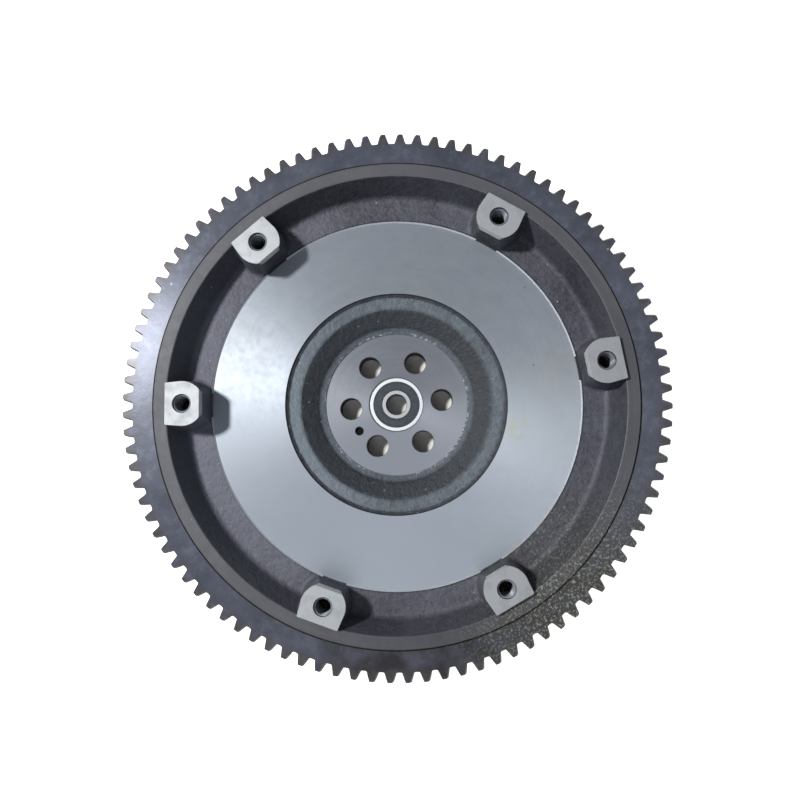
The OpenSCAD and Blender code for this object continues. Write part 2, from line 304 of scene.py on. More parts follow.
def piece(name, bm, body, nodes, materials, angle=28.0):
    """Makes a finished object of a bmesh, in place of its CAD nodes."""
    smooth_below(bm, angle)
    mesh = bpy.data.meshes.new(name)
    bm.to_mesh(mesh)
    bm.free()
    if not mesh.polygons:
        raise RuntimeError(f"{name} has no faces")
    for material in materials:
        mesh.materials.append(material)
    thing = bpy.data.objects.new(name, mesh)
    bpy.context.scene.collection.objects.link(thing)
    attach(thing, body)
    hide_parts(*nodes)
    return thing


# ---------------------------------------------------------------- material helpers

def scaled(colour, factor):
    """A colour made lighter or darker by a factor."""
    return tuple(min(1.0, channel * factor) for channel in colour)


class Nodes:
    """Short calls that add nodes to one material."""

    def __init__(self, name):
        self.material = bpy.data.materials.get(name) or bpy.data.materials.new(name)
        self.material.use_nodes = True
        self.tree = self.material.node_tree
        self.tree.nodes.clear()
        self.output = self.tree.nodes.new("ShaderNodeOutputMaterial")
        self.shader = self.tree.nodes.new("ShaderNodeBsdfPrincipled")
        self.tree.links.new(self.shader.outputs["BSDF"], self.output.inputs["Surface"])
        self.place = self.tree.nodes.new("ShaderNodeTexCoord").outputs["Object"]

    def add(self, kind, inputs=None, **attributes):
        """A node with its attributes set and its inputs linked or given a value."""
        node = self.tree.nodes.new("ShaderNode" + kind)
        for key, value in attributes.items():
            setattr(node, key, value)
        for key, value in (inputs or {}).items():
            self.feed(node.inputs[key], value)
        return node

    def feed(self, socket, value):
        """Links an output to a socket, or sets its value."""
        if isinstance(value, bpy.types.NodeSocket):
            self.tree.links.new(value, socket)
        else:
            socket.default_value = value

    def set(self, **inputs):
        """Feeds the shader's own sockets; an underscore stands for a space."""
        for key, value in inputs.items():
            self.feed(self.shader.inputs[key.replace("_", " ")], value)

    def noise(self, scale, detail=4.0, rough=0.55, vector=None):
        """Noise of a scale per metre, as its Fac output."""
        return self.add("TexNoise", {"Vector": vector or self.place, "Scale": scale, "Detail": detail,
                                     "Roughness": rough}).outputs["Fac"]

    def math(self, operation, a, b=0.0, c=0.0):
        """One Math node."""
        return self.add("Math", {0: a, 1: b, 2: c}, operation=operation).outputs[0]

    def ramp(self, value, low, high, start=0.0, end=1.0):
        """Value spread from low..high to start..end, held at both ends."""
        node = self.add("MapRange", {"Value": value, "From Min": low, "From Max": high,
                                     "To Min": start, "To Max": end})
        return node.outputs["Result"]

    def mix(self, factor, a, b):
        """Two colours mixed."""
        node = self.add("Mix", data_type="RGBA")
        self.feed(node.inputs["Factor"], factor)
        self.feed(node.inputs[6], a if isinstance(a, bpy.types.NodeSocket) else (*a, 1.0))
        self.feed(node.inputs[7], b if isinstance(b, bpy.types.NodeSocket) else (*b, 1.0))
        return node.outputs[2]

    def bump(self, height, distance, strength=1.0, normal=None):
        """A bump of a height field, in metres."""
        inputs = {"Height": height, "Distance": distance, "Strength": strength}
        if normal is not None:
            inputs["Normal"] = normal
        return self.add("Bump", inputs).outputs["Normal"]

    def split(self, vector=None):
        """X, Y and Z of a place."""
        return self.add("SeparateXYZ", {0: vector or self.place}).outputs

    def radius(self):
        """Distance from the flywheel's axis."""
        x, y, _ = self.split()
        return self.math("SQRT", self.math("ADD", self.product(x, x),
                                           self.product(y, y)))

    def around(self, stretch=0.0):
        """Coordinates that run with the radius, for marks that circle the axis."""
        x, y, z = self.split()
        angle = self.math("ARCTAN2", y, x)
        east = self.product(self.math("COSINE", angle), stretch)
        north = self.product(self.math("SINE", angle), stretch)
        return self.add("CombineXYZ", {"X": self.radius(), "Y": east, "Z": north}).outputs[0]

    def outward(self):
        """Unit direction away from the axis, in the plane of the faces."""
        x, y, _ = self.split()
        flat = self.add("CombineXYZ", {"X": x, "Y": y, "Z": 0.0}).outputs[0]
        return self.add("VectorMath", {0: flat}, operation="NORMALIZE").outputs["Vector"]

    def away(self, spot):
        """Distance from a spot."""
        return self.add("VectorMath", {0: self.place, 1: spot}, operation="DISTANCE").outputs["Value"]

    def facing(self, side):
        """How far a place lies towards a side: 1 there and -1 opposite."""
        return self.add("VectorMath", {0: self.outward(), 1: side}, operation="DOT_PRODUCT").outputs["Value"]

    def product(self, a, b):
        """Two values multiplied."""
        return self.math("MULTIPLY", a, b)

    def dabs(self, share, strength, under, over):
        """One colour dabbed over another where a share is high."""
        return self.mix(self.product(share, strength), under, over)

    def specks(self, scale, size, share):
        """Sparse small dots: 1 inside a dot and 0 elsewhere."""
        cell = self.add("TexVoronoi", {"Vector": self.place, "Scale": scale, "Randomness": 1.0})
        chosen = self.ramp(self.split(cell.outputs["Color"])[0], share, share * 0.9)
        dot = self.ramp(cell.outputs["Distance"], size, size * 0.55)
        return self.product(chosen, dot)


def powder(made, colour, share=1.0):
    """Colour with greenish grime and pale flecks of dust laid over it at the dusty place."""
    near = made.ramp(made.away(DUSTY_PLACE), 0.078, 0.022)
    patchy = made.ramp(made.noise(150.0, 5.0, 0.7), 0.36, 0.60, 0.35, 0.95 * share)
    colour = made.dabs(near, patchy, colour, (0.070, 0.070, 0.056))
    flecks = made.ramp(made.noise(620.0, 5.0, 0.78), 0.53, 0.59, 0.0, 0.75 * share)
    return made.dabs(near, flecks, colour, (0.50, 0.50, 0.45))


def dark_patch(made):
    """Share of the darker patch that lies along one side of the rim and its gear."""
    near = made.ramp(made.away(DARK_PATCH_PLACE), 0.105, 0.025)
    return made.product(near, made.ramp(made.noise(60.0, 5.0, 0.65), 0.36, 0.60, 0.55, 1.0))


def rough_surface(made, tone_ramp, dark, light):
    """Colour, roughness and bump of a rough cast surface, before any bands of colour."""
    patches = made.noise(26.0, 5.0, 0.6)
    grain = made.noise(900.0, 6.0, 0.7)
    middling = made.noise(300.0, 5.0, 0.65)
    pits = made.add("TexVoronoi", {"Vector": made.place, "Scale": 620.0}, feature="SMOOTH_F1")
    tone = made.math("ADD", made.product(patches, 0.45), made.product(grain, 0.35))
    tone = made.math("ADD", tone, made.product(middling, 0.35))
    height = made.math("ADD", made.product(grain, 0.6),
                       made.product(pits.outputs["Distance"], 0.5))
    coarse = made.bump(made.noise(190.0, 4.0, 0.6), 0.0012, 0.6)
    made.set(Metallic=0.2, IOR=1.5, Roughness=made.ramp(grain, 0.3, 0.7, 0.52, 0.70),
             Normal=made.bump(height, 0.00040, 0.9, coarse))
    return made.mix(made.ramp(tone, *tone_ramp), dark, light)


def cast_skin(step):
    """Rough casting skin: dark hollows, worn grains, stray bright chips, painted shade along the step and on
    the rim's inner wall, and painted light that makes it paler towards one side.
    """
    made, colours = Nodes("rough_cast_iron"), settings("finish")
    dark, light = tuple(colours.cast_dark), tuple(colours.cast_light)
    colour = rough_surface(made, (0.44, 0.74), dark, light)
    # Painted shade: a dark band along the step round the ground face.
    wander = made.math("MULTIPLY_ADD", made.noise(240.0, 3.0), 0.0012, made.radius())
    away = made.math("ABSOLUTE", made.math("SUBTRACT", wander, step + 0.0012))
    step_shade = made.ramp(away, 0.0004, 0.0011, 0.75, 0.0)
    colour = made.mix(step_shade, colour, scaled(dark, 0.25))
    # Painted light: the skin is painted paler towards one side.
    wear_and_painted_light = made.ramp(made.facing(CAST_LIT_SIDE), 0.35, 0.95, 0.0, 0.5)
    colour = made.mix(wear_and_painted_light, colour, scaled(light, 1.5))
    # Painted shade: the rim's inner wall is painted darker.
    wall = made.ramp(made.radius(), step + 0.0140, step + 0.0170, 0.0, 0.32)
    colour = made.mix(wall, colour, scaled(dark, 0.35))
    chips = made.math("MAXIMUM", made.specks(95.0, 0.11, 0.07), made.specks(300.0, 0.16, 0.035))
    colour = made.dabs(chips, 0.7, colour, (0.55, 0.56, 0.58))
    made.set(Base_Color=powder(made, colour, 0.4))
    return made.material


def recess_skin(hub, edge):
    """Rough-turned recess: dark cone, lighter shelf with painted light that makes it paler towards one side,
    dark outer edge and a ragged rim at the hub.
    """
    made, colours = Nodes("rough_turned_recess"), settings("finish")
    dark, light = tuple(colours.cone_dark), tuple(colours.shelf_light)
    shelf = rough_surface(made, (0.44, 0.68), scaled(light, 0.45), light)
    # Painted light: the shelf is painted paler towards one side.
    wear_and_painted_light = made.ramp(made.facing(CAST_LIT_SIDE), 0.30, 0.95, 0.0, 0.6)
    shelf = made.mix(wear_and_painted_light, shelf, scaled(light, 1.5))
    cone = made.mix(made.noise(300.0, 4.0, 0.65), scaled(dark, 0.7), scaled(dark, 1.8))
    wander = made.math("MULTIPLY_ADD", made.noise(210.0, 4.0, 0.6), 0.0022, made.radius())
    lit = made.product(made.ramp(wander, 0.0558, 0.0588), made.ramp(wander, edge - 0.0002, edge - 0.0020))
    foot = made.product(made.ramp(wander, hub + 0.0062, hub + 0.0036), 0.62)
    colour = made.mix(made.math("MAXIMUM", lit, foot), cone, shelf)
    rim = made.ramp(wander, hub + 0.0030, hub + 0.0010)
    patchy = made.ramp(made.noise(46.0, 2.0), 0.47, 0.56)
    ragged = made.product(made.product(rim, patchy),
                       made.ramp(made.noise(560.0, 4.0, 0.7), 0.53, 0.59))
    colour = made.dabs(ragged, 0.9, colour, (0.70, 0.73, 0.75))
    flecks = made.product(made.specks(330.0, 0.17, 0.06), 0.5)
    made.set(Base_Color=made.mix(flecks, colour, (0.50, 0.52, 0.54)))
    return made.material


def circled_metal(name, base, marks, rough, gleam, metal, grain, blotch, blotch_colour):
    """Metal cut or ground in circles round the axis, with a gleam across the marks; where the gleam is
    strong, painted light makes the colour lighter towards one side, and elsewhere the colour is darker in a
    patch at one side and dusty.
    """
    made = Nodes(name)
    rings = made.noise(marks, 3.0, 0.75, made.around(0.0008))
    broad = made.noise(marks * 0.22, 3.0, 0.7, made.around(0.0014))
    cloud = made.noise(18.0, 5.0, 0.6)
    fine_cloud = made.noise(130.0, 5.0, 0.65)
    dull = scaled(base, 0.72)
    colour = made.mix(made.ramp(rings, 0.3, 0.7, 0.0, grain), base, dull)
    colour = made.mix(made.ramp(broad, 0.42, 0.62, 0.0, grain * 0.7), colour, dull)
    colour = made.mix(made.ramp(cloud, 0.50, 0.72, 0.0, blotch), colour, blotch_colour)
    colour = made.mix(made.ramp(fine_cloud, 0.48, 0.66, 0.0, blotch * 0.8), colour,
                      scaled(base, 0.70))
    spots = made.specks(110.0, 0.085, 0.06)
    colour = made.dabs(spots, 0.55, colour, scaled(base, 0.25))
    nicks = made.specks(150.0, 0.10, 0.05)
    colour = made.dabs(nicks, 0.35, colour, scaled(base, 2.4))
    if gleam > 0.5:
        # Painted light: the face is painted lighter towards one side.
        lit_side_share = made.ramp(made.facing(TURNED_LIT_SIDE), -0.30, 0.35, 0.0, 0.9)
        colour = made.mix(lit_side_share, colour, scaled(base, 1.12 + gleam / 3))
    else:
        # The colour is darker in a patch at one side of the rim and its gear.
        colour = made.dabs(dark_patch(made), 0.55, colour, scaled(base, 0.35))
        colour = powder(made, colour, 0.8)
    spill = made.product(made.ramp(made.away(SPILL_PLACE), 0.0085, 0.004),
                         made.ramp(made.noise(190.0, 3.0), 0.44, 0.58))
    colour = made.dabs(spill, 0.45, colour, (0.42, 0.42, 0.24))
    smear = made.math("ADD", made.product(made.noise(60.0, 5.0, 0.65), 0.5),
                      made.product(made.noise(260.0, 4.0, 0.65), 0.5))
    made.set(Base_Color=colour, Metallic=metal, Anisotropic=gleam, Tangent=made.outward(),
             Roughness=made.ramp(smear, 0.38, 0.62, rough - 0.035, rough + 0.035))
    made.set(Normal=made.bump(rings, 0.00003, 0.3))
    return made.material


def drilled_wall():
    """Dark walls of the drilled holes, brown with light rust and ringed by the drill."""
    made, colours = Nodes("drilled_iron"), settings("finish")
    _, _, z = made.split()
    rings = made.noise(4000.0, 2.0, 0.6, made.add("CombineXYZ", {"X": z, "Y": 0.0, "Z": 0.0}).outputs[0])
    cloud = made.noise(260.0, 5.0, 0.65)
    base = tuple(colours.drilled)
    colour = made.mix(made.ramp(cloud, 0.35, 0.7), base, scaled(base, 0.35))
    made.set(Base_Color=powder(made, colour), Metallic=0.5,
             Roughness=made.ramp(cloud, 0.3, 0.7, 0.45, 0.6))
    made.set(Normal=made.bump(rings, 0.00004, 0.5))
    return made.material


def milled_top():
    """Boss tops, fly-cut in one pass across the whole circle."""
    made, colours = Nodes("milled_boss_top"), settings("finish")
    x, y, _ = made.split()
    sweep = made.add("CombineXYZ", {"X": x, "Y": made.product(y, 0.06), "Z": 0.0}).outputs[0]
    lines = made.noise(2600.0, 2.0, 0.6, sweep)
    cloud = made.noise(120.0, 4.0, 0.6)
    base = tuple(colours.milled)
    colour = made.mix(made.ramp(lines, 0.3, 0.7, 0.0, 0.5), base, scaled(base, 0.78))
    colour = made.mix(made.ramp(cloud, 0.46, 0.66, 0.0, 0.5), colour, scaled(base, 0.66))
    nicks = made.specks(260.0, 0.14, 0.07)
    colour = made.dabs(nicks, 0.5, colour, scaled(base, 0.35))
    made.set(Base_Color=colour, Metallic=0.4, Roughness=made.ramp(cloud, 0.3, 0.7, 0.50, 0.60))
    made.set(Normal=made.bump(lines, 0.00003, 0.3))
    return made.material


def gear_steel():
    """Hardened ring gear steel: dark, turned in circles, scuffed, with dust at one side."""
    made, colours = Nodes("ring_gear_steel"), settings("finish")
    rings = made.noise(2400.0, 3.0, 0.7, made.around(0.0006))
    cloud = made.noise(30.0, 5.0, 0.62)
    scuffs = made.noise(160.0, 5.0, 0.68)
    grain = made.noise(1400.0, 4.0, 0.7)
    base = tuple(colours.gear)
    colour = made.mix(made.ramp(cloud, 0.35, 0.72), base, scaled(base, 0.55))
    colour = made.mix(made.ramp(scuffs, 0.50, 0.70, 0.0, 0.32), colour, scaled(base, 1.8))
    # The gear is darker in a patch at one side.
    colour = made.dabs(dark_patch(made), 0.93, colour, (0.022, 0.019, 0.022))
    reach = made.ramp(made.radius(), GEAR_HIGH.x - 0.009, GEAR_HIGH.x - 0.002)
    dirt = made.product(reach, made.ramp(made.noise(170.0, 5.0, 0.65), 0.40, 0.60, 0.0, 0.85))
    colour = made.mix(dirt, colour, tuple(colours.rust))
    colour = made.dabs(made.specks(140.0, 0.12, 0.05), 0.7, colour, (0.46, 0.45, 0.41))
    colour = powder(made, colour)
    made.set(Base_Color=colour, Metallic=0.35, Anisotropic=0.66, Tangent=made.outward(),
             Roughness=made.ramp(scuffs, 0.34, 0.66, 0.35, 0.41))
    coarse = made.bump(made.noise(260.0, 4.0, 0.6), 0.0002, 0.2)
    made.set(Normal=made.bump(made.math("ADD", rings, grain), 0.00003, 0.4, coarse))
    return made.material


def tooth_flank():
    """Cut flanks and bevels of the teeth, coloured near black as painted shade, with a grain of thin rust."""
    made, colours = Nodes("tooth_flank_steel"), settings("finish")
    cloud, grain = made.noise(210.0, 5.0, 0.66), made.noise(1800.0, 4.0, 0.7)
    base = tuple(colours.flank)
    colour = made.mix(made.ramp(cloud, 0.38, 0.62), base, scaled(base, 2.1))
    colour = made.mix(made.ramp(grain, 0.60, 0.72, 0.0, 0.5), colour, (0.10, 0.09, 0.075))
    made.set(Base_Color=colour, Metallic=0.4, Roughness=made.ramp(grain, 0.3, 0.7, 0.45, 0.62))
    made.set(Normal=made.bump(grain, 0.00006, 0.6))
    return made.material


def bearing_steel(name, base):
    """Bearing steel with faint circular marks and small stains."""
    made = Nodes(name)
    rings = made.noise(9000.0, 2.0, 0.6, made.around(0.0004))
    cloud = made.noise(420.0, 3.0, 0.5)
    made.set(Base_Color=made.mix(made.ramp(cloud, 0.3, 0.8, 0.0, 0.4), base, scaled(base, 0.82)),
             Metallic=0.3, Roughness=made.ramp(cloud, 0.3, 0.7, 0.48, 0.56))
    made.set(Normal=made.bump(rings, 0.00001, 0.3))
    return made.material


def cage_sheet():
    """Pressed cage steel with a slight warm tone and rubbed patches."""
    made, colours = Nodes("pressed_cage_steel"), settings("finish")
    cloud = made.noise(900.0, 4.0, 0.6)
    base = tuple(colours.sheet)
    made.set(Base_Color=made.mix(cloud, base, scaled(base, 0.6)), Metallic=1.0,
             Roughness=made.ramp(cloud, 0.3, 0.7, 0.28, 0.45))
    made.set(Normal=made.bump(made.noise(5000.0, 3.0), 0.00001, 0.5))
    return made.material


def seal_rubber():
    """Moulded nitrile rubber with a fine grain and a little dust."""
    made, colours = Nodes("seal_rubber"), settings("finish")
    grain = made.noise(6000.0, 3.0, 0.6)
    cloud = made.noise(700.0, 4.0, 0.6)
    base = tuple(colours.rubber)
    colour = made.mix(made.ramp(cloud, 0.45, 0.70, 0.0, 0.6), base, scaled(base, 2.0))
    dust = made.specks(1100.0, 0.24, 0.12)
    colour = made.dabs(dust, 0.35, colour, (0.42, 0.46, 0.50))
    made.set(Base_Color=colour, Roughness=made.ramp(cloud, 0.3, 0.7, 0.42, 0.60))
    made.set(Normal=made.bump(grain, 0.00002, 0.6))
    return made.material


# ---------------------------------------------------------------- casting

SKIN, GROUND, HUB, MILLED, RIM, DRILLED, RECESS, STEP = range(8)


def casting_outline(sizes):
    """The casting's half section as closed (r, z) points, with its fillets."""
    cast_z = sizes.friction_z + sizes.friction_step
    edge = 0.6 * MM
    bore = BEARING_HIGH.x
    stop = 14.0 * MM
    rear_rim = CASTING_HIGH.x
    rear_z, web_z = 3.0 * MM, 6.0 * MM
    gear_rear = GEAR_LOW.z
    shelf, cone = 62.3 * MM, 55.4 * MM
    shelf_z, cone_z = sizes.friction_z - 1.6 * MM, sizes.friction_z - 2.3 * MM
    hub_fillet, hub_fillet_z = 46.4 * MM, sizes.hub_z + 1.9 * MM
    recess_in, recess_out = 51.0 * MM, 119.0 * MM
    points = [(stop + edge, 0.0), (44.0 * MM, 0.0), (45.0 * MM, 1.0 * MM)]
    points += arc((recess_in, web_z - 4.0 * MM), 4.0 * MM, 160, 90, 7)
    points += arc((recess_out - 2.0 * MM, web_z - 2.0 * MM), 2.0 * MM, 90, 20, 6)
    points += [(recess_out + 1.0 * MM, rear_z), (rear_rim - 2.0 * MM, rear_z)]
    points += arc((rear_rim - 2.0 * MM, rear_z + 2.0 * MM), 2.0 * MM, -70, 0, 5)
    points += [(rear_rim, gear_rear - 0.4 * MM), (rear_rim - 0.4 * MM, gear_rear), (sizes.seat, gear_rear),
               (sizes.seat, sizes.rim_z - edge), (sizes.seat - edge, sizes.rim_z)]
    points += arc((sizes.rim_in + 1.0 * MM, sizes.rim_z - 1.0 * MM), 1.0 * MM, 90, 160, 6)
    points += arc((sizes.wall_foot - 4.0 * MM, cast_z + 4.0 * MM), 4.0 * MM, -20, -90, 9)
    points += [(sizes.friction_out + 0.7 * MM, cast_z), (sizes.friction_out, sizes.friction_z),
               (sizes.friction_in, sizes.friction_z),
               (sizes.friction_in - 0.7 * MM, sizes.friction_z - 0.8 * MM)]
    points += arc((shelf + 0.3 * MM, shelf_z + 0.9 * MM), 0.9 * MM, -30, -95, 5)
    points += arc((cone + 0.8 * MM, cone_z - 1.0 * MM), 1.0 * MM, 90, 145, 5)
    points += arc((hub_fillet - 1.8 * MM, hub_fillet_z + 1.6 * MM), 2.2 * MM, -40, -75, 5)
    points += [(sizes.hub_face + 0.4 * MM, sizes.hub_z + 0.6 * MM), (sizes.hub_face, sizes.hub_z),
               (bore + edge, sizes.hub_z), (bore, sizes.hub_z - edge),
               (bore, BEARING_LOW.z), (stop, BEARING_LOW.z), (stop, edge)]
    return points


def is_skin(sizes, r, z):
    """True where the casting keeps its rough skin."""
    front = z > sizes.hub_z - 0.1 * MM
    if front:
        recess = sizes.hub_face + 0.5 * MM < r < sizes.friction_in - 0.3 * MM
        ring = sizes.friction_out + 0.8 * MM < r < sizes.seat - 1.5 * MM and z < sizes.rim_z - 0.2 * MM
        return recess or ring
    web = 45.0 * MM < r < 121.0 * MM and z > 1.5 * MM
    side = r > sizes.seat + 0.5 * MM and 4.0 * MM < z < GEAR_LOW.z - 0.5 * MM
    return web or side


def swell(sizes, place):
    """Height of the casting skin's swells at a place."""
    lumps = noise.noise(place * 140.0) + 0.6 * noise.noise(place * 420.0 + Vector((5.0, 1.0, 3.0)))
    grains = 0.35 * noise.noise(place * 1100.0)
    return sizes.swell * (lumps + grains)


def casting_blank(sizes):
    """The spun body, with swells in its rough skin."""
    bm = spun(fine(casting_outline(sizes), 1.6 * MM), sizes.turns)
    bm.normal_update()
    for vert in bm.verts:
        if is_skin(sizes, math.hypot(vert.co.x, vert.co.y), vert.co.z):
            vert.co += vert.normal * swell(sizes, vert.co) * 0.5
    return bm


def boss_corner(sizes, turn, spread):
    """Distance from the bolt hole to the boss's outline in a direction, with crisp corners."""
    across, along = abs(math.sin(turn)) + 1e-6, math.cos(turn)
    side = sizes.boss_radius + spread
    if along < 0:
        limits = [side, (sizes.boss_in + 0.06 * spread) / -along]
    else:
        limits = [side / (across + 0.085 * along), sizes.boss_out / (along + 1e-6)]
    power = 90.0
    return sum((limit / sizes.boss_in) ** -power for limit in limits) ** (-1.0 / power) * sizes.boss_in


def wall_radius(sizes, z):
    """Radius of the rim's inner wall at a height."""
    low, high = sizes.friction_z + 5.0 * MM, sizes.rim_z
    share = min(1.0, max(0.0, (z - low) / (high - low)))
    return sizes.wall_foot + (sizes.rim_in - sizes.wall_foot) * share


def boss_blank(sizes):
    """One boss about its own hole, its outer side towards +X, with fillets to floor and wall."""
    top, steps = CASTING_HIGH.z, 144
    cast_z = sizes.friction_z + sizes.friction_step
    foot = 2.4 * MM
    heights = [top - 0.001 * MM, top - 0.08 * MM, top - 0.2 * MM]
    heights += [top - 0.6 * MM - 1.35 * MM * k for k in range(13)]
    heights += [cast_z + foot * (1 - math.sin(math.radians(a))) for a in (10, 25, 40, 55, 70, 85)]
    heights += [cast_z - 1.5 * MM]
    bm = bmesh.new()
    ring = bmesh.ops.create_circle(bm, cap_ends=True, radius=sizes.boss_radius, segments=steps)["verts"]
    bolt_circle = math.hypot(COVER_BOLTS[0].x, COVER_BOLTS[0].y)

    def shape(verts, z):
        """Sets one level's ring of vertices."""
        draft = (top - z) * 0.09
        edge = max(0.0, 0.2 * MM - (top - z)) * 0.8
        under = max(0.0, z - cast_z)
        skirt = foot - math.sqrt(max(0.0, foot ** 2 - (foot - under) ** 2)) if under < foot else 0.0
        fillet = 2.5 * MM * min(1.0, max(0.0, (sizes.rim_z - 1.0 * MM - z) / (6.0 * MM)))
        wall = wall_radius(sizes, z) - bolt_circle
        for vert in verts:
            turn = math.atan2(vert.co.y, vert.co.x)
            reach = boss_corner(sizes, turn, draft + skirt) - edge
            x, y = reach * math.cos(turn), reach * math.sin(turn)
            slope = max(0.0, sizes.boss_chamfer - (top - z))
            if x < 0 and slope > 0:
                x = max(x, -(sizes.boss_in - slope))
            into = min(1.0, max(0.0, (x - (wall - fillet)) / max(fillet, 1e-6)))
            if x > 0 and fillet > 0:
                y *= 1 + fillet * (1 - math.sqrt(1 - into * into)) / sizes.boss_radius
            vert.co = (x, y, z)

    shape(ring, heights[0])
    rim = [edge for edge in bm.edges if edge.is_boundary or len(edge.link_faces) == 1]
    for z in heights[1:]:
        grown = bmesh.ops.extrude_edge_only(bm, edges=rim)["geom"]
        verts = [item for item in grown if isinstance(item, bmesh.types.BMVert)]
        rim = [item for item in grown if isinstance(item, bmesh.types.BMEdge)]
        shape(verts, z)
    bmesh.ops.contextual_create(bm, geom=rim)
    bmesh.ops.recalc_face_normals(bm, faces=bm.faces)
    return bm


def bosses(sizes):
    """All six bosses in place, with swells in their sides."""
    one, all_six = boss_blank(sizes), bmesh.new()
    for bolt in COVER_BOLTS:
        turn = math.atan2(bolt.y, bolt.x)
        place = Matrix.Rotation(turn, 4, "Z") @ Matrix.Translation((math.hypot(bolt.x, bolt.y), 0, 0))
        copied_in(all_six, one, place)
    one.free()
    all_six.normal_update()
    for vert in all_six.verts:
        if vert.co.z < CASTING_HIGH.z - 1.6 * MM:
            vert.co += vert.normal * swell(sizes, vert.co) * 0.6
    return all_six


def hole_cutters(sizes):
    """Cutters for the crankshaft bolts, the locating pin and the threaded holes."""
    cutters = bmesh.new()
    crank, pin = MOUNTS["crank_bolts"], MOUNTS["locating_pin_hole"]
    circle, bolt = crank["dims"]["pcd_mm"] * MM / 2, crank["dims"]["hole_r_mm"] * MM
    past, ease = 2.0 * MM, 0.35 * MM
    for radius, place in (
        *((bolt, Matrix.Rotation(math.tau * k / crank["dims"]["count"], 4, "Z") @ Vector((circle, 0, 0)))
          for k in range(crank["dims"]["count"])),
        (pin["dims"]["r_mm"] * MM, Vector((pin["pos_m"][0], pin["pos_m"][1], 0.0))),
    ):
        outline = [(0.0, -past), (radius + ease + past, -past), (radius, ease),
                   (radius, sizes.hub_z - ease), (radius + ease + past, sizes.hub_z + past),
                   (0.0, sizes.hub_z + past)]
        hole = spun(outline, 64, closed=False)
        copied_in(cutters, hole, Matrix.Translation(place))
        hole.free()
    top, major = CASTING_HIGH.z, sizes.thread_major
    depth, tip = 20.0 * MM, 2.4 * MM
    outline = [(0.0, top + past), (sizes.mouth + past, top + past),
               (major, top - (sizes.mouth - major)), (major, top - depth), (0.0, top - depth - tip)]
    hole = spun(outline, 48, closed=False)
    for bolt_place in COVER_BOLTS:
        copied_in(cutters, hole, Matrix.Translation((bolt_place.x, bolt_place.y, 0.0)))
    hole.free()
    return cutters


def cover_thread(sizes):
    """The thread ridge of one cover hole about its own axis, as a closed coil."""
    steps, pitch, major = 32, sizes.thread_pitch, sizes.thread_major
    minor = MOUNTS["cover_bolt_1"]["dims"]["r_mm"] * MM
    top, turns = CASTING_HIGH.z, 12
    start, sunk = top - 19.6 * MM, major + 0.12 * MM
    bm = bmesh.new()
    ridge = [(sunk, 0.06 * pitch), (minor, 0.40 * pitch), (minor, 0.54 * pitch), (sunk, 0.88 * pitch)]
    verts = [bm.verts.new((r, 0.0, start + z)) for r, z in ridge]
    edges = [bm.edges.new(pair) for pair in zip(verts, verts[1:] + verts[:1])]
    bmesh.ops.spin(bm, geom=verts + edges, cent=CENTRE, axis=AXIS, dvec=(0.0, 0.0, pitch / steps),
                   angle=math.tau * turns, steps=steps * turns, use_merge=False)
    bmesh.ops.holes_fill(bm, edges=[edge for edge in bm.edges if edge.is_boundary], sides=4)
    for vert in bm.verts:
        vert.co.z = min(top - 0.05 * MM, vert.co.z)
        reach = math.hypot(vert.co.x, vert.co.y)
        mouth = sizes.mouth + 0.02 * MM - (top - vert.co.z)
        if reach < mouth:
            vert.co.x *= mouth / reach
            vert.co.y *= mouth / reach
    bmesh.ops.recalc_face_normals(bm, faces=bm.faces)
    return bm


def bolt_distance(place):
    """Distance from the nearest cover bolt's axis."""
    return min(math.hypot(place.x - bolt.x, place.y - bolt.y) for bolt in COVER_BOLTS)


def finish_casting(bm, sizes):
    """Gives each face of the casting its finish."""
    near = 0.08 * MM
    top = CASTING_HIGH.z
    crank = MOUNTS["crank_bolts"]["dims"]
    hole_ring, hole = crank["pcd_mm"] * MM / 2, crank["hole_r_mm"] * MM
    for face in bm.faces:
        middle, up = face.calc_center_median(), face.normal.z
        r, z = math.hypot(middle.x, middle.y), middle.z
        finish = SKIN
        if z > top - near:
            finish = MILLED
        elif z > top - 1.6 * MM and bolt_distance(middle) > sizes.boss_in - 2 * MM and up > 0.3:
            finish = MILLED
        elif up > 0.9 and abs(z - sizes.friction_z) < near and r < sizes.friction_out:
            finish = GROUND
        elif abs(r - sizes.friction_out - 0.35 * MM) < 0.36 * MM and z < sizes.friction_z + 1.0 * MM:
            clear = bolt_distance(middle) > sizes.boss_radius + 1.5 * MM
            finish = STEP if z > sizes.hub_z and clear else SKIN
        elif abs(r - hole_ring) < hole + 0.3 * MM and abs(up) < 0.3 and z < sizes.hub_z:
            finish = DRILLED
        elif r < sizes.hub_face + 0.42 * MM and z < sizes.hub_z + 0.65 * MM:
            finish = HUB
        elif r < sizes.friction_in and z > sizes.hub_z:
            finish = RECESS
        elif z > sizes.rim_z - 1.2 * MM and r > sizes.seat - sizes.joint and up < 0.9:
            finish = DRILLED
        elif z > sizes.rim_z - 1.0 * MM and r > sizes.rim_in + 0.3 * MM:
            finish = RIM
        elif r > sizes.seat - near or (z < 3.5 * MM and up < -0.9):
            finish = RIM
        elif bolt_distance(middle) < sizes.thread_major + 0.1 * MM:
            finish = DRILLED
        face.material_index = finish


